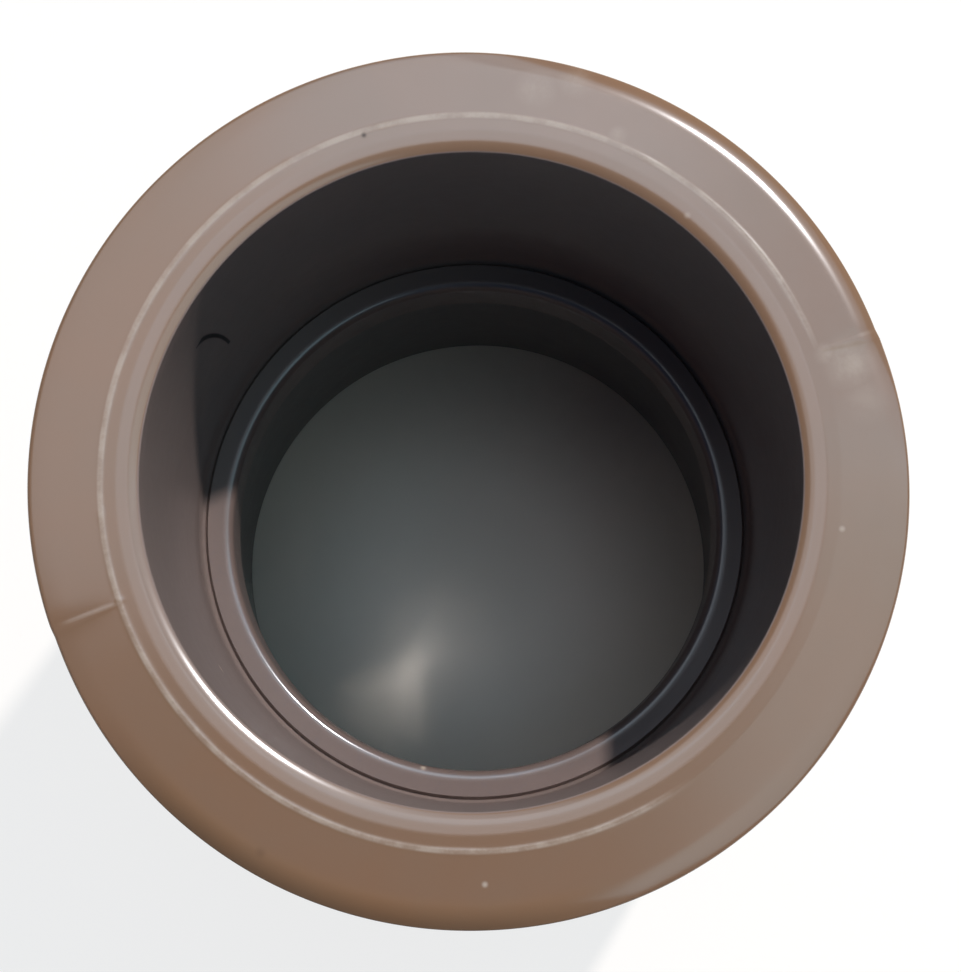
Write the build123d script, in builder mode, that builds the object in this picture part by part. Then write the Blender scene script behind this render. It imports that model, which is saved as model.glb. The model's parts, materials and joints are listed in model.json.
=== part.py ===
from build123d import *
import os

# Straight coupling for solvent-welded PVC pipe: one moulded piece, a socket at each end and a stop ring between.
# Millimetres, +Z up along the bore, origin at the middle of the lower end, on which the piece stands.

# The pipe that each socket takes
pipe_diameter = 25.0
socket_clearance = 0.1

# Sockets, and the ring between them that stops both pipe ends
socket_depth = 19.0
stop_width = 3.4
stop_step = 1.45
stop_lip_round = 0.28

# Wall, and the shape of each end: a rounded mouth, a flat band that rolls down near its edge and a rounded rim
wall = 4.4
mouth_round = 0.25
roll_width = 0.7
roll_drop = 0.11
rim_round = 0.2

# Radii from the axis
socket_radius = pipe_diameter / 2 + socket_clearance
stop_radius = socket_radius - stop_step
outer_radius = socket_radius + wall
roll_radius = outer_radius - roll_width

# Heights from the middle of the stop ring to one end
stop_face = stop_width / 2
end_face = stop_face + socket_depth
rim_height = end_face - roll_drop

middle = Plane((0, 0, end_face), x_dir=(1, 0, 0), z_dir=(0, -1, 0))
stop_lip = (stop_radius, stop_face)
mouth = (socket_radius, end_face)
rim = (outer_radius, rim_height)


def round_corner(section, corner, radius):
    """Round the corner of the section that lies at the given point."""
    fillet(section.vertices().sort_by_distance(corner)[0], radius)


with BuildPart() as coupling:
    with BuildSketch(middle) as section:
        with BuildLine():
            inside = Polyline(
                (stop_radius, 0),
                stop_lip,
                (socket_radius, stop_face),
                mouth,
                (roll_radius, end_face),
            )
            roll = TangentArc(inside @ 1, rim, tangent=inside % 1)
            Polyline(roll @ 1, (outer_radius, 0), inside @ 0)
        make_face()
        round_corner(section, stop_lip, stop_lip_round)
        round_corner(section, mouth, mouth_round)
        round_corner(section, rim, rim_round)
        mirror(about=Plane.XZ)
    revolve(axis=Axis.Z)

coupling.part.label = "coupling"
os.makedirs("parts", exist_ok=True)
export_step(coupling.part, "parts/coupling.step")
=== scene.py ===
import json
import math
import bpy
import numpy as np
from bpy.props import FloatProperty, FloatVectorProperty, IntProperty, PointerProperty
from mathutils import Matrix, Vector


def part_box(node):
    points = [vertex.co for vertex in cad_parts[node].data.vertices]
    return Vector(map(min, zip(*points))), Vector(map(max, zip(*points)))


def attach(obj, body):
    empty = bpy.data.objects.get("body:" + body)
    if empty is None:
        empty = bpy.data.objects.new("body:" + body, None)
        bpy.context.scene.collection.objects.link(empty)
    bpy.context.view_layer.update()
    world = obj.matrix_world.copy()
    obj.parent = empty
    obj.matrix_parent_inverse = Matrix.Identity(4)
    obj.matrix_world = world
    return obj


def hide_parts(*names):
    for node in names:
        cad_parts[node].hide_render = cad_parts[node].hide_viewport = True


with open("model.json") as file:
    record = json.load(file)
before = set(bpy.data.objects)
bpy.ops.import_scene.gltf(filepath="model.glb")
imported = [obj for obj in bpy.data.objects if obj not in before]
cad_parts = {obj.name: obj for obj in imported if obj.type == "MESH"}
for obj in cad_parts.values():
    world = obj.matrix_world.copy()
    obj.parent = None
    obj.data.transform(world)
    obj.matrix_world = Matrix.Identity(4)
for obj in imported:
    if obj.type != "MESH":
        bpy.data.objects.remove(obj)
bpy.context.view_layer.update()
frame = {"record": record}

# The moulded surface and finish of a straight PVC pipe coupling, with its stage and camera.
# Metres, +Z up along the bore, origin at the middle of the end that it stands on.
# Angles run from +X towards +Y, as seen from above.

bl_info = {
    "name": "PVC pipe coupling",
    "version": (1, 0, 0),
    "blender": (4, 5, 0),
    "location": "3D View > Sidebar > Coupling",
    "description": "Dresses the coupling with its moulded surface and finish, and sets its stage",
    "category": "Add Mesh",
}

MM = 0.001
NODE = "coupling"
WHITE = (1.0, 1.0, 1.0, 1.0)

MOUNTS = {mount["name"]: mount for mount in frame["record"]["mounts"]}
SOCKET = MOUNTS["upper_socket"]["dims"]
LOW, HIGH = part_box(NODE)

# Stretch of the upper end where the core's edge left no ridge, and the length over which the ridge fades,
# in degrees
BARE_MIDDLE = 342.0
BARE_HALF = 35.0
BARE_EASE = 14.0

# Height of the ridge, as shares of its full height: its mean, its swing and the least of the upper one
RIDGE_MEAN = 0.5
RIDGE_SWING = 0.2
RIDGE_LEAST = 0.1

# Unevenness round the axis: seed, and the least and greatest number of waves in a turn
UPPER_RIDGE_WAVES = (11, 3, 40)
LOWER_RIDGE_WAVES = (23, 2, 24)
UPPER_END_WAVES = (41, 2, 9)
LOWER_END_WAVES = (43, 2, 9)

# Where an end is wavy: middle of the wavy band beyond the ridge, and its width, in mm
WAVY_MIDDLE = 0.6
WAVY_WIDTH = 4.0

# Close columns of the mesh along a parting line: their number, and in degrees how far they reach and the even
# columns keep clear
SEAM_COLUMNS = 17
SEAM_REACH = 0.9
SEAM_CLEAR = 1.1

# Flash along a parting line: how fast it grows from the ridge and fades towards the rim, and what is left of
# it down the outside, as a share
SEAM_GROWTH = 6.0
SEAM_FADING = 5.0
SEAM_OUTSIDE = 0.3

# Widths over which the mould's halves change at a parting line, in widths of its flash: their offset and tilt
STEP_WIDTH = 0.25
TILT_WIDTH = 2.0

# Widths of the mesh's close rows beside the ridge and of the spurs, in widths of the ridge
CLOSE_ROWS = 1.6
SPUR_WIDTH = 1.5

# Room left inside the solid's box, in mm, and the edges that stay sharp, in degrees
BOX_ROOM = 0.01
SHARP_ANGLE = 50.0

# Where an end rolls down to its rim: middle and half length of each stretch and its slope at the rim,
# in degrees, and the length over which a stretch begins
ROLLED_STRETCHES = ((48.0, 34.0, 27.0), (252.0, 30.0, 42.0), (314.0, 26.0, 15.0))
ROLL_EASE = 24.0

# Spurs of flash on the upper end's ridge: angle in degrees, length round in mm, share of the ridge's height
RIDGE_SPURS = (
    (186.1, 0.35, 0.5),
    (199.6, 0.25, 0.6),
    (166.4, 0.30, 0.3),
    (137.5, 0.30, 0.3),
    (119.7, 0.30, 0.4),
)

# Marks on the surface: angle in degrees, radius, depth below the upper end and half width in mm, strength
PALE_SPECKS = (
    (272.0, 15.27, 0.0, 0.18, 1.0),
    (351.8, 14.16, 0.0, 0.18, 0.6),
    (50.5, 13.05, 0.0, 0.20, 0.5),
    (213.0, 12.60, 10.1, 0.30, 1.0),
    (258.0, 11.25, 19.1, 0.20, 0.9),
)
DARK_SPECKS = (
    (107.3, 13.88, 0.0, 0.17, 0.75),
    (241.0, 16.10, 0.0, 0.30, 0.20),
)
RUBBED_PATCHES = (
    (16.6, 15.05, 0.0, 1.30, 0.55),
    (19.0, 14.30, 0.0, 0.60, 0.40),
    (11.0, 15.30, 0.0, 1.20, 0.22),
    (80.5, 15.27, 0.0, 1.00, 0.35),
    (75.3, 15.95, 0.0, 0.90, 0.28),
    (66.8, 14.40, 0.0, 0.50, 0.35),
)

# Noise in the finish: waves per metre, detail and roughness
CLOUDS = (190.0, 3.0, 0.55)
GRAIN = (2600.0, 2.0, 0.6)
DUST = (900.0, 4.0, 0.65)
DRAW_LINES = (1500.0, 1.0, 0.6)
TURNED_RINGS = (5200.0, 2.0, 0.6)

# How the last two are drawn out, as scales along X, Y and Z
ALONG_BORE = (1.0, 1.0, 0.03)
ROUND_BORE = (0.05, 0.05, 1.0)

# Soft edges from here on: where a mask is 0 and where it is 1. First below an end, in mm.
END_EDGE = (0.8, 0.5)

# Outward from the ridge, in mm: start and end of a parting line, and start of the rim
SEAM_START = (0.0, 0.2)
SEAM_END = (2.5, 1.9)
RIM_EDGE = (1.6, 2.2)

# Inward from the outside, in mm
OUTSIDE_EDGE = (0.9, 0.6)

# Outward from a socket's wall, in mm: the bore, the stop ring, and the wall that the fibre is on
BORE_EDGE = (0.10, 0.02)
STOP_EDGE = (-0.05, -0.2)
FIBRE_WALL = (0.10, 0.05)

# The stop ring's lip, in mm outward from its hole and beyond its faces
LIP_EDGE = (0.45, 0.3)
LIP_FACE = (-0.36, -0.26)

# Below the coupling's middle, in mm
LOWER_EDGE = (1.0, 2.0)

# Across flash and parting lines, in their widths
FLASH_EDGE = (0.75, 0.25)
LINE_EDGE = (0.7, 0.2)

# In the noise, from 0 to 1
FLASH_DUST = (0.35, 0.65)
PATCH_DUST = (0.3, 0.7)
WARM_CLOUDS = (0.3, 0.7)
SCUFFED_CLOUDS = (0.42, 0.6)
SCUFF_LINES = (0.56, 0.74)
GRAIN_EDGE = (0.2, 0.45)

# Up the sky, in sines of the height above the horizon
SKY_EDGE = (0.5, 0.25)

# Sides of the coupling: angle in degrees, and a soft edge in cosines of the angle from it. The core left the
# stop's lip and the lower socket smooth on one side, and the rim is dull on one side and worn on another.
POLISHED_SIDE = (238.0, 0.45, 0.75)
DULL_SIDE = (254.0, 0.78, 0.92)
WORN_SIDE = (46.0, 0.84, 0.92)

# How pale flash and rubbed patches are without dust and what dust adds, how pale parting lines and scuffs are,
# and how far the grain takes the colour back to the body's
FLASH_PALE = 0.26
DUSTY_FLASH = 0.36
PATCH_PALE = 0.4
DUSTY_PATCH = 0.6
LINE_PALE = 0.12
SCUFF_PALE = 0.07
GRAIN_TINT = 0.12

# Relief of the grain against that of the turned rings, and the strength and depth of both, the depth in mm
GRAIN_RELIEF = 0.5
BUMP_STRENGTH = 0.35
BUMP_DEPTH = 0.02

# What dust and rubbing add to the roughness
DUST_ROUGHNESS = 0.16
RUBBED_ROUGHNESS = 0.15

# The smooth skin: what it loses where it is dull, worn and rubbed, the share that the stop's lip keeps all
# round, and its least weight and what the clouds add to it
DULL_LOSS = 0.8
WORN_LOSS = 0.45
RUBBED_LOSS = 0.6
LIP_GLOSS = 0.4
LEAST_GLOSS = 0.9
CLOUD_GLOSS = 0.2

# A dark fibre on the upper socket's wall, part of an ellipse: its angle in degrees, the ellipse's middle and
# half widths in mm, round the wall and down it, and the soft edge of its line in shares of the ellipse. Then in
# mm the soft ends of the part, round the wall, down it and up it, and how near the wall's middle it has to be.
FIBRE_ANGLE = 149.3
FIBRE_MIDDLE = (0.82, 11.36)
FIBRE_HALVES = (1.58, 6.5)
FIBRE_LINE = (0.07, 0.03)
FIBRE_ROUND = (0.72, 0.62)
FIBRE_LOW = (10.6, 10.3)
FIBRE_HIGH = (5.0, 5.2)
FIBRE_NEAR = (0.0, 1.0)
FIBRE_STRENGTH = 0.95

# Lamps: metres from the part, and how far each soft one leans from straight above, in degrees, from its left
# to its right edge and from its front to its back edge
LAMPS_AWAY = 0.8
WINDOW_SPAN = ((-20.0, 6.0), (3.0, 26.0))
SKYLIGHT_SPAN = ((-6.0, 44.0), (8.5, 46.0))
FILL_SPAN = ((8.0, 36.0), (-26.0, 8.5))

# Half the floor's width in metres, where the painted shade on the floor in the bore starts, in socket radii,
# and the width of the camera's sensor in mm
FLOOR_HALF = 1.5
FLOOR_SHADE_START = 0.3
SENSOR = 36.0


def size_property(name, description, millimetres):
    """A length, with its default in millimetres."""
    return FloatProperty(
        name=name,
        description=description,
        default=millimetres * MM,
        precision=5,
        subtype="DISTANCE",
        unit="LENGTH",
    )


def shift_property(name, description, across, up):
    """A sideways offset along X and Y, with its default in millimetres."""
    return FloatVectorProperty(
        name=name,
        description=description,
        default=(across * MM, up * MM),
        size=2,
        precision=5,
        unit="LENGTH",
    )


def angle_property(name, description, degrees):
    """An angle, with its default in degrees."""
    return FloatProperty(name=name, description=description, default=math.radians(degrees), subtype="ANGLE")


def share_property(name, description, default):
    """A number from 0 to 1."""
    return FloatProperty(
        name=name,
        description=description,
        default=default,
        min=0.0,
        max=1.0,
        subtype="FACTOR",
    )


def colour_property(name, description, default):
    """A colour in linear values."""
    return FloatVectorProperty(
        name=name,
        description=description,
        default=default,
        size=3,
        min=0.0,
        subtype="COLOR",
    )


class CouplingSizes(bpy.types.PropertyGroup):
    """Sizes of the moulding, from the frame and its record where they give them."""

    length: size_property("Length", "From end to end", (HIGH.z - LOW.z) / MM)
    outer_radius: size_property("Outer radius", "From the axis to the outside", (HIGH.x - LOW.x) / 2 / MM)
    socket_radius: size_property("Socket radius", "From the axis to a socket's wall", SOCKET["r_mm"])
    stop_width: size_property("Stop width", "Length of the stop ring along the bore", 3.4)
    stop_step: size_property("Stop step", "Height of the stop ring above a socket's wall", 1.45)
    stop_lip_round: size_property("Stop lip round", "Radius of the stop ring's edges", 0.36)
    corner_groove: size_property("Corner groove", "Size of the groove at a socket's bottom", 0.28)
    mouth_round: size_property("Mouth round", "Radius of the edge at a socket's mouth", 0.1)
    mouth_roll: size_property("Mouth roll", "Radius of the curve that falls to a socket's mouth", 1.3)
    mouth_angle: angle_property("Mouth angle", "Slope of that curve where it meets the mouth's edge", 24.0)
    lead_in_width: size_property("Lead-in width", "From a socket's wall to its lead-in's end", 0.88)
    lead_in_angle: angle_property("Lead-in angle", "Slope of the lead-in", 4.0)
    ridge_radius: size_property("Ridge radius", "From the axis to the core's edge on an end", 14.05)
    roll_width: size_property("Roll width", "Outer part of an end that rolls down to the rim", 0.88)
    flat_angle: angle_property("Flat angle", "Slope at the rim where an end hardly rolls", 3.0)
    rim_round: size_property("Rim round", "Radius of the outer rim", 0.12)
    columns: IntProperty(name="Columns", description="Steps of the mesh round the axis", default=440, min=64)


class MouldMarks(bpy.types.PropertyGroup):
    """Marks that the mould left: its shifted halves, its parting lines and the flash at the core's edge."""

    parting_angle: angle_property("Parting angle", "Direction of the parting plane", 20.0)
    core_shift: shift_property("Core shift", "Offset of the outside from the bore", -0.10, -0.20)
    half_mismatch: shift_property("Half mismatch", "Offset of the half on the +Y side", -0.14, 0.258)
    half_tilt: angle_property("Half tilt", "Fall towards the rim on the -Y half", 1.5)
    seam_height: size_property("Seam height", "Flash along a parting line", 0.008)
    seam_width: size_property("Seam width", "Width of the flash along a parting line", 0.16)
    ridge_height: size_property("Ridge height", "Flash round the core's edge", 0.02)
    ridge_width: size_property("Ridge width", "Width of the flash round the core's edge", 0.22)
    waviness: size_property("Waviness", "Slow unevenness of the ends", 0.004)


class PvcFinish(bpy.types.PropertyGroup):
    """Colour and gloss of the brown PVC."""

    body: colour_property("Body", "Colour of the plastic", (0.178, 0.098, 0.053))
    warm: colour_property("Warm", "Colour of its warmer clouds", (0.185, 0.094, 0.046))
    # Painted sheen and light: the sockets' walls are painted greyer and lighter than the body, standing in for
    # soft reflections and light in the bore
    socket: colour_property("Socket", "Greyer colour of the sockets' walls", (0.198, 0.150, 0.134))
    # Painted shade: the lower socket's wall, deep in the bore, is painted darker and greyer than the upper one
    lower: colour_property("Lower", "Darker colour of the lower socket's wall", (0.105, 0.099, 0.103))
    # Painted shade: the stop ring at the sockets' bottom is painted darker and greyer than their walls
    stop: colour_property("Stop", "Greyer colour of the stop ring", (0.112, 0.082, 0.074))
    pale: colour_property("Pale", "Colour of flash, rubbed patches and dust", (0.40, 0.325, 0.260))
    dark: colour_property("Dark", "Colour of pits, fibres and grime", (0.010, 0.009, 0.009))
    roughness: share_property("Roughness", "Roughness of the satin surface", 0.62)
    specular: share_property("Specular", "Specular level of the satin surface", 0.18)
    gloss: share_property("Gloss", "Weight of the smooth skin", 1.0)
    bore_gloss: share_property("Bore gloss", "Weight of the smooth skin in the sockets", 0.35)
    gloss_roughness: share_property("Gloss roughness", "Roughness of the smooth skin", 0.15)
    gloss_ior: FloatProperty(
        name="Gloss IOR", description="Refractive index of the smooth skin", default=1.8
    )


class StageSettings(bpy.types.PropertyGroup):
    """Floor, lamps and camera."""

    floor: colour_property("Floor", "Colour of the floor", (0.90, 0.81, 0.71))
    # Painted shade: the floor inside the bore is painted darker towards the socket's wall
    floor_edge: colour_property("Floor edge", "Colour of its edge in the bore", (0.50, 0.44, 0.37))
    floor_white: share_property("White floor", "How far the floor round the part shows as white", 0.8)
    key_light: colour_property("Key light", "Light of the key lamp on a level surface", (1.07, 1.05, 1.06))
    key_azimuth: angle_property("Key azimuth", "Direction of the key lamp", 56.8)
    key_lean: angle_property("Key lean", "Angle of the key lamp from straight above", 34.0)
    key_width: angle_property("Key width", "Width of the key lamp as the part sees it", 2.2)
    window: colour_property("Window", "Brightness of the soft lamp at the back", (1.06, 1.12, 1.20))
    skylight: colour_property("Skylight", "Brightness of the lamp at the back right", (0.48, 0.80, 1.05))
    fill: colour_property("Fill", "Brightness of the soft lamp at the front right", (0.75, 1.05, 1.15))
    overhead: colour_property("Overhead", "Brightness of the sky overhead", (0.010, 0.045, 0.110))
    horizon: colour_property("Horizon", "Brightness of the sky near the horizon", (0.20, 0.21, 0.22))
    lens: FloatProperty(
        name="Lens", description="Focal length on the sensor", default=84.25, unit="CAMERA"
    )
    camera_foot: shift_property("Camera foot", "Place of the camera, from the axis", 0.832, -10.747)
    camera_height: size_property("Camera height", "Height of the camera above the upper end", 85.43)
    camera_aim: shift_property("Camera aim", "Place on the upper end that it looks at", 0.37, -0.385)


class Value:
    """A shader socket for Python expressions: each operation adds its Math node."""

    def __init__(self, shader, socket):
        self.shader = shader
        self.socket = socket

    def out(self, name):
        """Another output of the same node."""
        return Value(self.shader, self.socket.node.outputs[name])

    def __add__(self, other):
        return self.shader.math("ADD", self, other)

    __radd__ = __add__

    def __sub__(self, other):
        return self.shader.math("SUBTRACT", self, other)

    def __rsub__(self, other):
        return self.shader.math("SUBTRACT", other, self)

    def __mul__(self, other):
        return self.shader.math("MULTIPLY", self, other)

    __rmul__ = __mul__

    def __truediv__(self, other):
        return self.shader.math("DIVIDE", self, other)

    def __rtruediv__(self, other):
        return self.shader.math("DIVIDE", other, self)

    def __pow__(self, other):
        return self.shader.math("POWER", self, other)

    def __rpow__(self, other):
        return self.shader.math("POWER", other, self)

    def __abs__(self):
        return self.shader.math("ABSOLUTE", self)


class Shader:
    """One node tree, emptied, and the ways to add nodes to it."""

    def __init__(self, owner):
        owner.use_nodes = True
        self.tree = owner.node_tree
        self.tree.nodes.clear()

    def node(self, kind, sockets=(), **settings):
        """Add a node, with its settings and then its sockets' values or links, and give its first output."""
        made = self.tree.nodes.new(kind)
        for name, value in settings.items():
            setattr(made, name, value)
        for name, value in dict(sockets).items():
            if isinstance(value, Value):
                self.tree.links.new(value.socket, made.inputs[name])
            else:
                made.inputs[name].default_value = value
        return Value(self, made.outputs[0]) if made.outputs else None

    def math(self, operation, *values):
        """A Math node."""
        return self.node("ShaderNodeMath", dict(enumerate(values)), operation=operation)

    def greater(self, first, second):
        """The greater of two values."""
        return self.math("MAXIMUM", first, second)

    def rise(self, value, low, high):
        """0 up to low, 1 from high on and a smooth rise between. Falls where low is the greater."""
        sockets = {"Value": value, "From Min": low, "From Max": high}
        return self.node("ShaderNodeMapRange", sockets, interpolation_type="SMOOTHSTEP")

    def mix(self, share, first, second):
        """Mix two colours."""
        sockets = {"Factor": share, 6: first, 7: second}
        return self.node("ShaderNodeMix", sockets, data_type="RGBA").out(2)

    def blend(self, share, first, second):
        """Mix two shaders."""
        return self.node("ShaderNodeMixShader", {0: share, 1: first, 2: second})

    def stretch(self, place, factors):
        """A place scaled along its axes."""
        return self.node("ShaderNodeVectorMath", {0: place, 1: factors}, operation="MULTIPLY")

    def noise(self, place, scale, detail=2.0, roughness=0.5):
        """Noise from 0 to 1, with its scale in waves per metre."""
        sockets = {"Vector": place, "Scale": scale, "Detail": detail, "Roughness": roughness}
        return self.node("ShaderNodeTexNoise", sockets)


def opaque(colour):
    """A colour with its alpha."""
    return (*colour, 1.0)


def direction(degrees):
    """Cosine and sine of an angle in degrees."""
    return math.cos(math.radians(degrees)), math.sin(math.radians(degrees))


def turn_from(theta, middle):
    """Signed angles from a direction, in radians."""
    return (theta - middle + np.pi) % (2 * np.pi) - np.pi


def bell(away, width):
    """A smooth rise and fall, 1 in the middle and about a third at half a width away."""
    return np.exp(-((away / (width / 2)) ** 2))


def wander(theta, seed, lowest, highest):
    """A repeatable unevenness round the axis, about -1 to 1, of waves from lowest to highest in a turn."""
    draw = np.random.default_rng(seed)
    counts = np.arange(lowest, highest + 1)
    phases = draw.uniform(0.0, 2 * np.pi, counts.size)
    sizes = draw.uniform(0.5, 1.0, counts.size)
    waves = sizes * np.cos(theta[:, None] * counts + phases)
    return waves.sum(1) / np.sqrt(2 * (sizes**2).sum())


def straight(start, end, steps):
    """Even points of a straight line, without its first."""
    return [tuple(point) for point in np.linspace(start, end, steps + 1)[1:]]


def arc(centre, radius, start, end, steps):
    """Even points of an arc between two angles in radians, without its first."""
    turns = np.linspace(start, end, steps + 1)[1:]
    return [(centre[0] + radius * math.cos(turn), centre[1] + radius * math.sin(turn)) for turn in turns]


def half_outline(sizes, marks, outer_radius, fall):
    """Radius and height of the upper half, from the stop ring's hole to the middle of the outside. Heights
    count from the coupling's middle. The end lies below the tips of its flash, and rolls down to its rim by
    the angle given."""
    quarter = math.pi / 2
    end_face = sizes.length / 2 - marks.ridge_height
    stop_face = sizes.stop_width / 2
    stop_radius = sizes.socket_radius - sizes.stop_step
    lip = sizes.stop_lip_round
    groove = sizes.corner_groove
    lead_in = sizes.socket_radius + sizes.lead_in_width
    mouth = sizes.mouth_round
    curve = sizes.mouth_roll
    steep = sizes.mouth_angle
    slight = sizes.lead_in_angle
    curve_across = sizes.socket_radius + mouth + (curve - mouth) * math.sin(steep)
    curve_rise = end_face - (lead_in - curve_across + curve * math.sin(slight)) * math.tan(slight)
    curve_centre = (curve_across, curve_rise - curve * math.cos(slight))
    mouth_rise = curve_centre[1] + (curve - mouth) * math.cos(steep)
    mouth_centre = (sizes.socket_radius + mouth, mouth_rise)
    ridge = sizes.ridge_radius
    near = CLOSE_ROWS * marks.ridge_width
    rim = sizes.rim_round
    roll_start = outer_radius - sizes.roll_width
    roll = (sizes.roll_width - rim * (1 - math.sin(fall))) / math.sin(fall)
    roll_centre = (roll_start, end_face - roll)
    rim_across = roll_start + (roll - rim) * math.sin(fall)
    rim_centre = (rim_across, end_face - roll + (roll - rim) * math.cos(fall))

    points = [(stop_radius, 0.0)]
    points += straight(points[-1], (stop_radius, stop_face - lip), steps=2)
    points += arc((stop_radius + lip, stop_face - lip), lip, 2 * quarter, quarter, steps=6)
    points += straight(points[-1], (sizes.socket_radius - groove, stop_face), steps=4)
    points += straight(points[-1], (sizes.socket_radius - groove / 2, stop_face - groove), steps=2)
    points += straight(points[-1], (sizes.socket_radius, stop_face), steps=2)
    points += straight(points[-1], (sizes.socket_radius, mouth_centre[1]), steps=14)
    points += arc(mouth_centre, mouth, 2 * quarter, quarter + steep, steps=6)
    points += arc(curve_centre, curve, quarter + steep, quarter + slight, steps=10)
    points += straight(points[-1], (lead_in, end_face), steps=4)
    points += straight(points[-1], (ridge - near, end_face), steps=3)
    points += straight(points[-1], (ridge, end_face), steps=8)
    points += straight(points[-1], (ridge + near, end_face), steps=8)
    points += straight(points[-1], (roll_start, end_face), steps=6)
    points += arc(roll_centre, roll, quarter, quarter - fall, steps=10)
    points += arc(rim_centre, rim, quarter - fall, 0.0, steps=7)
    points += straight(points[-1], (outer_radius, 0.0), steps=5)
    return np.array(points)


def column_angles(count, parting):
    """Angles of the mesh's columns: even ones, and close ones along both parting lines."""
    angles = np.linspace(0.0, 2 * np.pi, count, endpoint=False)
    close = np.radians(np.linspace(-SEAM_REACH, SEAM_REACH, SEAM_COLUMNS))
    for line in (parting, parting + np.pi):
        clear = np.abs(turn_from(angles, line)) > np.radians(SEAM_CLEAR)
        angles = np.concatenate([angles[clear], line + close])
    return np.sort(angles % (2 * np.pi))


def stretch_share(theta, middle, half, ease):
    """1 along a stretch round the axis and 0 beyond it, with a smooth change at both ends, in degrees."""
    inside = half - np.abs(np.degrees(turn_from(theta, math.radians(middle))))
    share = np.clip(inside / ease + 0.5, 0.0, 1.0)
    return share * share * (3 - 2 * share)


def ridge_share(theta, upper):
    """Height of the ridge round the axis, as a share of its full height."""
    waves = wander(theta, *(UPPER_RIDGE_WAVES if upper else LOWER_RIDGE_WAVES))
    share = np.clip(RIDGE_MEAN + RIDGE_SWING * waves, RIDGE_LEAST if upper else 0.0, 1.0)
    if upper:
        share *= 1 - stretch_share(theta, BARE_MIDDLE, BARE_HALF + BARE_EASE / 2, BARE_EASE)
    return share


def half_surface(sizes, marks, theta, upper):
    """Points of one half, column by column, as if it were the upper one."""
    core = np.array(marks.core_shift)
    mismatch = np.array(marks.half_mismatch)
    offsets = [np.linalg.norm(core + mismatch / 2), np.linalg.norm(core - mismatch / 2)]
    outer_radius = sizes.outer_radius - (max(offsets) + BOX_ROOM * MM)
    outline = half_outline(sizes, marks, outer_radius, sizes.flat_angle)
    radius, height = outline.T
    along = np.gradient(outline, axis=0)
    along /= np.linalg.norm(along, axis=1)[:, None]
    rolled = np.zeros((theta.size, *outline.shape))
    for middle, half, fall in ROLLED_STRETCHES:
        share = stretch_share(theta, middle, half, ROLL_EASE)
        fallen = half_outline(sizes, marks, outer_radius, math.radians(fall))
        rolled += share[:, None, None] * (fallen - outline)
    ridge = sizes.ridge_radius
    outward = np.clip((radius - ridge) / (outer_radius - ridge), 0.0, 1.0)
    from_parting = np.outer(np.sin(theta - marks.parting_angle), radius)
    side = np.tanh(from_parting / (STEP_WIDTH * marks.seam_width))
    soft_side = np.tanh(from_parting / (TILT_WIDTH * marks.seam_width))

    ridge_height = ridge_share(theta, upper) * marks.ridge_height
    relief = np.outer(ridge_height, bell(radius - ridge, marks.ridge_width))
    if upper:
        spur = marks.ridge_height * bell(radius - ridge, SPUR_WIDTH * marks.ridge_width)
        for degrees, reach, share in RIDGE_SPURS:
            round_there = bell(turn_from(theta, math.radians(degrees)) * ridge, reach * MM)
            relief += np.outer(round_there, share * spur)
    waves = wander(theta, *(UPPER_END_WAVES if upper else LOWER_END_WAVES))
    wavy = (height > sizes.length / 2 - MM) * bell(radius - ridge - WAVY_MIDDLE * MM, WAVY_WIDTH * MM)
    relief += np.outer(waves, marks.waviness * wavy)
    grown = np.clip(outward * SEAM_GROWTH, 0.0, 1.0)
    faded = np.clip((1 - outward) * SEAM_FADING, SEAM_OUTSIDE, 1.0)
    relief += marks.seam_height * bell(from_parting, marks.seam_width) * grown * faded

    shift = outward[None, :, None] * (core + side[:, :, None] * mismatch / 2)
    fall = math.tan(marks.half_tilt) * (outer_radius - ridge) * outward * (height > sizes.length / 4)
    spread = radius + rolled[:, :, 0] - along[:, 1] * relief
    rise = height + rolled[:, :, 1] + along[:, 0] * relief - fall * (1 - soft_side) / 2
    rise = np.minimum(rise, sizes.length / 2)
    x = spread * np.cos(theta)[:, None] + shift[:, :, 0]
    y = spread * np.sin(theta)[:, None] + shift[:, :, 1]
    return np.stack([x, y, rise], axis=2)


def body_mesh(sizes, marks):
    """The closed mesh of the coupling: one outline, turned round the bore and uneven as moulded."""
    theta = column_angles(sizes.columns, marks.parting_angle)
    upper = half_surface(sizes, marks, theta, True)
    lower = half_surface(sizes, marks, theta, False)
    lower[:, :, 2] *= -1
    points = np.concatenate([upper, lower[:, -2:0:-1]], axis=1)
    points[:, :, 2] += sizes.length / 2

    columns, rows = points.shape[:2]
    index = np.arange(columns * rows).reshape(columns, rows)
    beside = np.roll(index, -1, axis=0)
    faces = np.stack([index, np.roll(index, -1, axis=1), np.roll(beside, -1, axis=1), beside], axis=2)
    mesh = bpy.data.meshes.new("coupling_body")
    mesh.from_pydata(points.reshape(-1, 3).tolist(), [], faces.reshape(-1, 4).tolist())
    mesh.shade_smooth()
    mesh.set_sharp_from_angle(angle=math.radians(SHARP_ANGLE))
    return mesh


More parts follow.
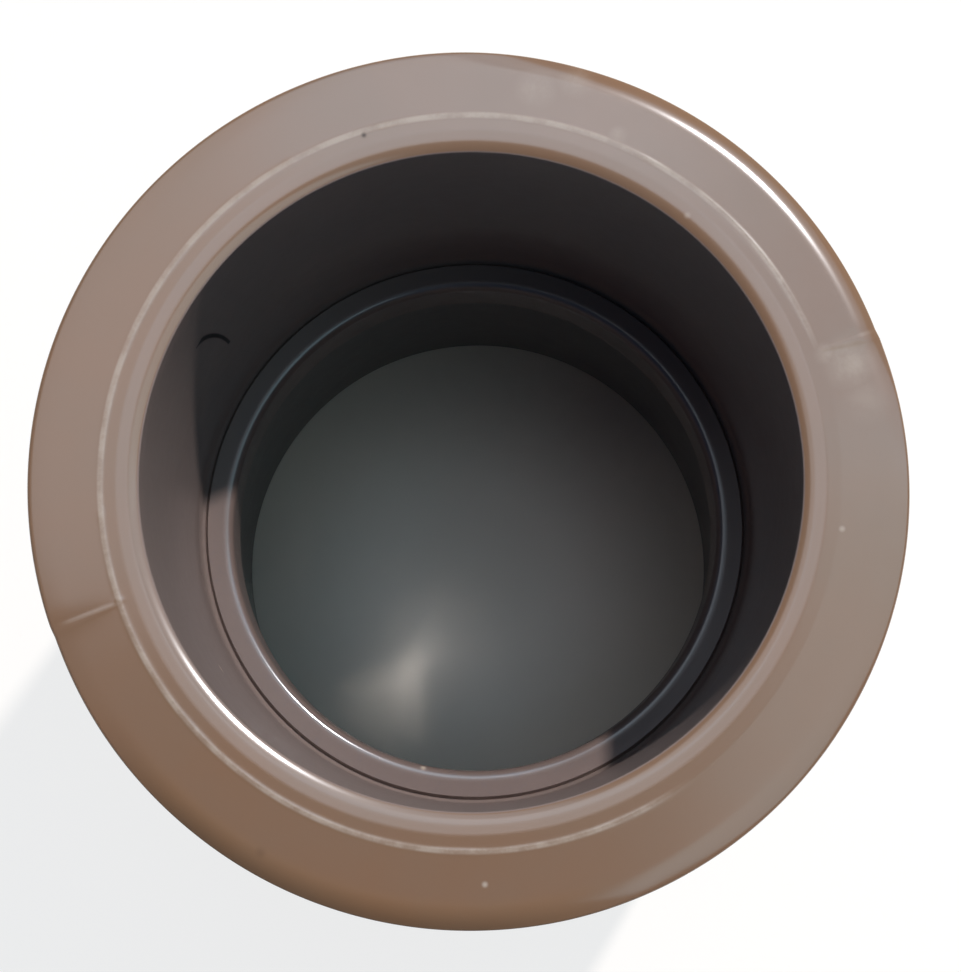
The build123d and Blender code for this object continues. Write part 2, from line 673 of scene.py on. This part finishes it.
class Spot:
    """Where a point of the surface lies, in millimetres, as values of its shader."""

    def __init__(self, shader, sizes):
        self.shader = shader
        self.place = shader.node("ShaderNodeTexCoord").out("Object")
        split = shader.node("ShaderNodeSeparateXYZ", {"Vector": self.place})
        self.x, self.y, z = (split.out(axis) / MM for axis in "XYZ")
        self.radius = (self.x * self.x + self.y * self.y) ** 0.5
        self.from_wall = self.radius - sizes.socket_radius / MM
        self.from_ridge = self.radius - sizes.ridge_radius / MM
        middle = sizes.length / 2 / MM
        self.depth = 2 * middle - z
        self.below_middle = middle - z
        self.from_middle = abs(self.below_middle)
        self.on_end = shader.rise(middle - self.from_middle, *END_EDGE)

    def along(self, degrees):
        """Distance from the axis in a direction."""
        cosine, sine = direction(degrees)
        return self.x * cosine + self.y * sine

    def across(self, degrees):
        """Distance from the line through the axis in a direction."""
        cosine, sine = direction(degrees)
        return self.y * cosine - self.x * sine

    def side(self, degrees, low, high):
        """1 round a direction and 0 away from it, with a soft edge between two cosines."""
        return self.shader.rise(self.along(degrees) / self.radius, low, high)


def marked(shader, spot, top, marks):
    """The greatest strength of the marks at a spot, each falling to 0 at its edge."""
    strengths = 0.0
    for degrees, radius, depth, half, strength in marks:
        cosine, sine = direction(degrees)
        middle = (radius * cosine * MM, radius * sine * MM, top - depth * MM)
        sockets = {0: spot.place, 1: middle}
        away = shader.node("ShaderNodeVectorMath", sockets, operation="DISTANCE").out("Value")
        strengths = shader.greater(strengths, shader.rise(away, half * MM, 0.0) * strength)
    return strengths


def fibre(shader, spot):
    """A short dark fibre that clings to the upper socket's wall, bent like a hook."""
    round_wall = spot.across(FIBRE_ANGLE)
    across = (round_wall - FIBRE_MIDDLE[0]) / FIBRE_HALVES[0]
    down = (spot.depth - FIBRE_MIDDLE[1]) / FIBRE_HALVES[1]
    line = shader.rise(abs((across * across + down * down) ** 0.5 - 1.0), *FIBRE_LINE)
    part = shader.rise(spot.depth, *FIBRE_LOW) * shader.rise(spot.depth, *FIBRE_HIGH)
    part = part * shader.rise(round_wall, *FIBRE_ROUND)
    near = shader.rise(spot.along(FIBRE_ANGLE), *FIBRE_NEAR) * shader.rise(spot.from_wall, *FIBRE_WALL)
    return line * part * near * FIBRE_STRENGTH


def flash_share(shader, spot, marks):
    """The flash round the core's edge on both ends, with the bare stretch of the upper one."""
    bare = spot.side(BARE_MIDDLE, direction(BARE_HALF + BARE_EASE)[0], direction(BARE_HALF)[0])
    bare = bare * shader.rise(spot.depth, *END_EDGE)
    across = abs(spot.from_ridge) / (marks.ridge_width / MM)
    return shader.rise(across, *FLASH_EDGE) * spot.on_end * (1 - bare)


def parting_share(shader, spot, marks):
    """The parting lines, from the ridge nearly to the outside."""
    across = abs(spot.across(math.degrees(marks.parting_angle))) / (marks.seam_width / MM)
    outward = shader.rise(spot.from_ridge, *SEAM_START) * shader.rise(spot.from_ridge, *SEAM_END)
    return shader.rise(across, *LINE_EDGE) * outward


def rubbed_share(shader, spot, sizes, marks, clouds, dust):
    """How pale the surface is rubbed: its flash, parting lines, patches and specks, and scuffs outside."""
    flash = flash_share(shader, spot, marks)
    flash = flash * (FLASH_PALE + DUSTY_FLASH * shader.rise(dust, *FLASH_DUST))
    rubbed = flash + LINE_PALE * parting_share(shader, spot, marks)
    patches = marked(shader, spot, sizes.length, RUBBED_PATCHES)
    patches = patches * (PATCH_PALE + DUSTY_PATCH * shader.rise(dust, *PATCH_DUST))
    specks = marked(shader, spot, sizes.length, PALE_SPECKS)
    rubbed = shader.greater(shader.greater(rubbed, patches), specks)
    outside = shader.rise(sizes.outer_radius / MM - spot.radius, *OUTSIDE_EDGE) * (1 - spot.on_end)
    lines = shader.noise(shader.stretch(spot.place, ALONG_BORE), *DRAW_LINES)
    scuffs = shader.rise(lines, *SCUFF_LINES) * shader.rise(clouds, *SCUFFED_CLOUDS) * outside
    return shader.greater(rubbed, SCUFF_PALE * scuffs)


def skin_share(shader, spot, sizes, finish, inside, lower):
    """Weight of the smooth skin: less in the bore, apart from its polished side, and on the dull rim."""
    lip = shader.rise(spot.from_wall + sizes.stop_step / MM, *LIP_EDGE)
    lip = lip * shader.rise(spot.from_middle - sizes.stop_width / 2 / MM, *LIP_FACE)
    polished = shader.greater(lower, lip) * spot.side(*POLISHED_SIDE)
    lost = inside * (1 - shader.greater(polished, LIP_GLOSS * lip))
    dull = shader.greater(DULL_LOSS * spot.side(*DULL_SIDE), WORN_LOSS * spot.side(*WORN_SIDE))
    dull = dull * shader.rise(spot.from_ridge, *RIM_EDGE)
    return (finish.gloss - (finish.gloss - finish.bore_gloss) * lost) * (1 - dull)


def pvc_material(sizes, marks, finish):
    """Brown PVC, satin under a smooth skin, with the flash, rubbing, dust and fibre that show on it, and
    painted sheen, light and shade in the sockets.
    """
    material = bpy.data.materials.new("pvc_brown")
    shader = Shader(material)
    spot = Spot(shader, sizes)
    clouds = shader.noise(spot.place, *CLOUDS)
    grain = shader.noise(spot.place, *GRAIN)
    dust = shader.noise(spot.place, *DUST)
    rings = shader.noise(shader.stretch(spot.place, ROUND_BORE), *TURNED_RINGS)

    inside = shader.rise(spot.from_wall, *BORE_EDGE)
    on_stop = shader.rise(spot.from_wall, *STOP_EDGE)
    lower = shader.rise(spot.below_middle, *LOWER_EDGE)
    rubbed = rubbed_share(shader, spot, sizes, marks, clouds, dust)
    specks = marked(shader, spot, sizes.length, DARK_SPECKS)
    grime = shader.greater(specks, fibre(shader, spot))
    skin = skin_share(shader, spot, sizes, finish, inside, lower) * (LEAST_GLOSS + CLOUD_GLOSS * clouds)

    colour = shader.mix(shader.rise(clouds, *WARM_CLOUDS), opaque(finish.body), opaque(finish.warm))
    # Painted shade: the lower socket's wall darker
    # Painted sheen and light: the sockets' walls greyer and lighter than the body
    bore = shader.mix(lower, opaque(finish.socket), opaque(finish.lower))
    # Painted shade: the stop ring darker
    bore = shader.mix(on_stop, bore, opaque(finish.stop))
    colour = shader.mix(inside, colour, bore)
    colour = shader.mix(GRAIN_TINT * shader.rise(grain, *GRAIN_EDGE), colour, opaque(finish.body))
    colour = shader.mix(rubbed, colour, opaque(finish.pale))
    colour = shader.mix(grime, colour, opaque(finish.dark))

    height = GRAIN_RELIEF * (grain - 0.5) + (rings - 0.5) * inside * (1 - on_stop)
    bump = {"Strength": BUMP_STRENGTH, "Distance": BUMP_DEPTH * MM, "Height": height}
    sockets = {
        "Base Color": colour,
        "Roughness": finish.roughness + DUST_ROUGHNESS * (dust - 0.5) + RUBBED_ROUGHNESS * rubbed,
        "Specular IOR Level": finish.specular,
        "Coat Weight": skin * (1 - RUBBED_LOSS * rubbed) * (1 - grime),
        "Coat Roughness": finish.gloss_roughness,
        "Coat IOR": finish.gloss_ior,
        "Normal": shader.node("ShaderNodeBump", bump),
    }
    surface = shader.node("ShaderNodeBsdfPrincipled", sockets)
    shader.node("ShaderNodeOutputMaterial", {"Surface": surface})
    return material


def facing(outward):
    """The turn that points an object's Z axis outward, with its X axis kept along X."""
    right = Vector((0.0, 1.0, 0.0)).cross(outward).normalized()
    return Matrix((right, outward.cross(right), outward)).transposed().to_4x4()


def make_lamp(name, shape, colour, toward, widths, target):
    """A lamp of the given brightness, as wide in radians as the target sees it, in the given direction."""
    light = bpy.data.lights.new(name, "AREA")
    light.shape = shape
    light.size, light.size_y = (2 * LAMPS_AWAY * math.tan(width / 2) for width in widths)
    area = light.size * light.size_y * (math.pi / 4 if shape == "ELLIPSE" else 1.0)
    level = max(colour)
    light.color = [share / level for share in colour]
    light.energy = level * math.pi * area
    lamp = bpy.data.objects.new(name, light)
    bpy.context.collection.objects.link(lamp)
    outward = toward.normalized()
    lamp.matrix_world = Matrix.Translation(target + LAMPS_AWAY * outward) @ facing(outward)
    lamp.visible_camera = False


def make_panel(name, colour, span, target):
    """A soft rectangular lamp over the given span."""
    leans = [math.radians(sum(edges) / 2) for edges in span]
    widths = [math.radians(edges[1] - edges[0]) for edges in span]
    toward = Vector((math.tan(leans[0]), math.tan(leans[1]), 1.0))
    make_lamp(name, "RECTANGLE", colour, toward, widths, target)


def make_key(stage, target):
    """The small bright lamp, of a brightness that gives a level surface its light."""
    spread = math.pi * math.tan(stage.key_width / 2) ** 2 * math.cos(stage.key_lean)
    colour = [math.pi * share / spread for share in stage.key_light]
    lean = math.sin(stage.key_lean)
    azimuth = stage.key_azimuth
    toward = Vector((lean * math.cos(azimuth), lean * math.sin(azimuth), math.cos(stage.key_lean)))
    make_lamp("key_lamp", "ELLIPSE", colour, toward, (stage.key_width, stage.key_width), target)


def make_floor(sizes, stage):
    """A wide pale floor, white round the part to what looks at it, apart from the part's shadow, with painted
    shade that darkens it towards the socket's wall inside the bore.
    """
    half = FLOOR_HALF
    corners = [(-half, -half, 0.0), (half, -half, 0.0), (half, half, 0.0), (-half, half, 0.0)]
    mesh = bpy.data.meshes.new("floor")
    mesh.from_pydata(corners, [], [(0, 1, 2, 3)])
    floor = bpy.data.objects.new("floor", mesh)
    bpy.context.collection.objects.link(floor)

    material = bpy.data.materials.new("floor_pale")
    shader = Shader(material)
    place = shader.node("ShaderNodeTexCoord").out("Object")
    from_axis = shader.node("ShaderNodeVectorMath", {0: place}, operation="LENGTH").out("Value")
    rays = shader.node("ShaderNodeLightPath")
    looked_at = shader.greater(rays.out("Is Camera Ray"), rays.out("Is Glossy Ray"))
    looked_at = shader.greater(looked_at, rays.out("Is Transmission Ray"))
    beyond = shader.rise(from_axis, sizes.socket_radius, sizes.outer_radius)
    # Painted shade: darker floor towards the socket's wall inside the bore
    painted_shade = shader.rise(from_axis, FLOOR_SHADE_START * sizes.socket_radius, sizes.socket_radius)
    pale = shader.node("ShaderNodeBsdfDiffuse", {"Color": opaque(stage.floor)})
    edge = shader.node("ShaderNodeBsdfDiffuse", {"Color": opaque(stage.floor_edge)})
    pale = shader.blend(painted_shade * (1 - beyond), pale, edge)
    white = shader.node("ShaderNodeEmission", {"Color": WHITE, "Strength": 1.0})
    surface = shader.blend(looked_at * beyond * stage.floor_white, pale, white)
    shader.node("ShaderNodeOutputMaterial", {"Surface": surface})
    mesh.materials.append(material)


def make_sky(stage):
    """A sky that is dim overhead and paler near the horizon, and white where the camera sees it."""
    world = bpy.data.worlds.new("sky")
    shader = Shader(world)
    toward = shader.node("ShaderNodeTexCoord").out("Generated")
    up = shader.node("ShaderNodeSeparateXYZ", {"Vector": toward}).out("Z")
    overhead = shader.node("ShaderNodeBackground", {"Color": opaque(stage.overhead), "Strength": 1.0})
    horizon = shader.node("ShaderNodeBackground", {"Color": opaque(stage.horizon), "Strength": 1.0})
    white = shader.node("ShaderNodeBackground", {"Color": WHITE, "Strength": 1.0})
    sky = shader.blend(shader.rise(up, *SKY_EDGE), overhead, horizon)
    seen = shader.node("ShaderNodeLightPath").out("Is Camera Ray")
    shader.node("ShaderNodeOutputWorld", {"Surface": shader.blend(seen, sky, white)})
    bpy.context.scene.world = world


def make_camera(sizes, stage):
    """The camera, nearly straight above the upper end."""
    data = bpy.data.cameras.new("camera")
    data.sensor_width = SENSOR
    data.lens = stage.lens
    data.clip_start = MM
    camera = bpy.data.objects.new("camera", data)
    bpy.context.collection.objects.link(camera)
    eye = Vector((*stage.camera_foot, sizes.length + stage.camera_height))
    backward = (eye - Vector((*stage.camera_aim, sizes.length))).normalized()
    camera.matrix_world = Matrix.Translation(eye) @ facing(backward)
    bpy.context.scene.camera = camera


class COUPLING_OT_body(bpy.types.Operator):
    """Make the moulded body of the coupling and give it its finish"""

    bl_idname = "coupling.body"
    bl_label = "Moulded body"

    def execute(self, context):
        sizes = context.scene.coupling_sizes
        marks = context.scene.coupling_marks
        mesh = body_mesh(sizes, marks)
        mesh.materials.append(pvc_material(sizes, marks, context.scene.coupling_finish))
        body = bpy.data.objects.new("coupling_body", mesh)
        context.collection.objects.link(body)
        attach(body, "root")
        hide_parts(NODE)
        return {"FINISHED"}


class COUPLING_OT_stage(bpy.types.Operator):
    """Make the floor, sky, lamps and camera"""

    bl_idname = "coupling.stage"
    bl_label = "Stage"

    def execute(self, context):
        sizes = context.scene.coupling_sizes
        stage = context.scene.coupling_stage
        middle = Vector((0.0, 0.0, sizes.length))
        make_floor(sizes, stage)
        make_sky(stage)
        make_key(stage, middle)
        make_panel("window_lamp", stage.window, WINDOW_SPAN, middle)
        make_panel("skylight_lamp", stage.skylight, SKYLIGHT_SPAN, middle)
        make_panel("fill_lamp", stage.fill, FILL_SPAN, middle)
        make_camera(sizes, stage)
        context.scene.view_settings.view_transform = "Standard"
        # No blur, which would lose the bright spot that the lower socket throws on the floor
        context.scene.cycles.blur_glossy = 0.0
        return {"FINISHED"}


class COUPLING_PT_sidebar(bpy.types.Panel):
    """Sizes, finish and stage of the coupling"""

    bl_idname = "COUPLING_PT_sidebar"
    bl_label = "PVC pipe coupling"
    bl_space_type = "VIEW_3D"
    bl_region_type = "UI"
    bl_category = "Coupling"

    def draw(self, context):
        for name, group in GROUPS.items():
            box = self.layout.box()
            box.label(text=group.__doc__)
            for setting in group.__annotations__:
                box.prop(getattr(context.scene, name), setting)
        for operator in OPERATORS:
            self.layout.operator(operator.bl_idname)


GROUPS = {
    "coupling_sizes": CouplingSizes,
    "coupling_marks": MouldMarks,
    "coupling_finish": PvcFinish,
    "coupling_stage": StageSettings,
}
OPERATORS = (COUPLING_OT_body, COUPLING_OT_stage)


def register():
    for cls in (*GROUPS.values(), *OPERATORS, COUPLING_PT_sidebar):
        bpy.utils.register_class(cls)
    for name, group in GROUPS.items():
        setattr(bpy.types.Scene, name, PointerProperty(type=group))


def unregister():
    for name in GROUPS:
        delattr(bpy.types.Scene, name)
    for cls in (COUPLING_PT_sidebar, *reversed(OPERATORS), *reversed(GROUPS.values())):
        bpy.utils.unregister_class(cls)


def main():
    register()
    bpy.ops.coupling.body()
    bpy.ops.coupling.stage()


if __name__ == "__main__":
    main()
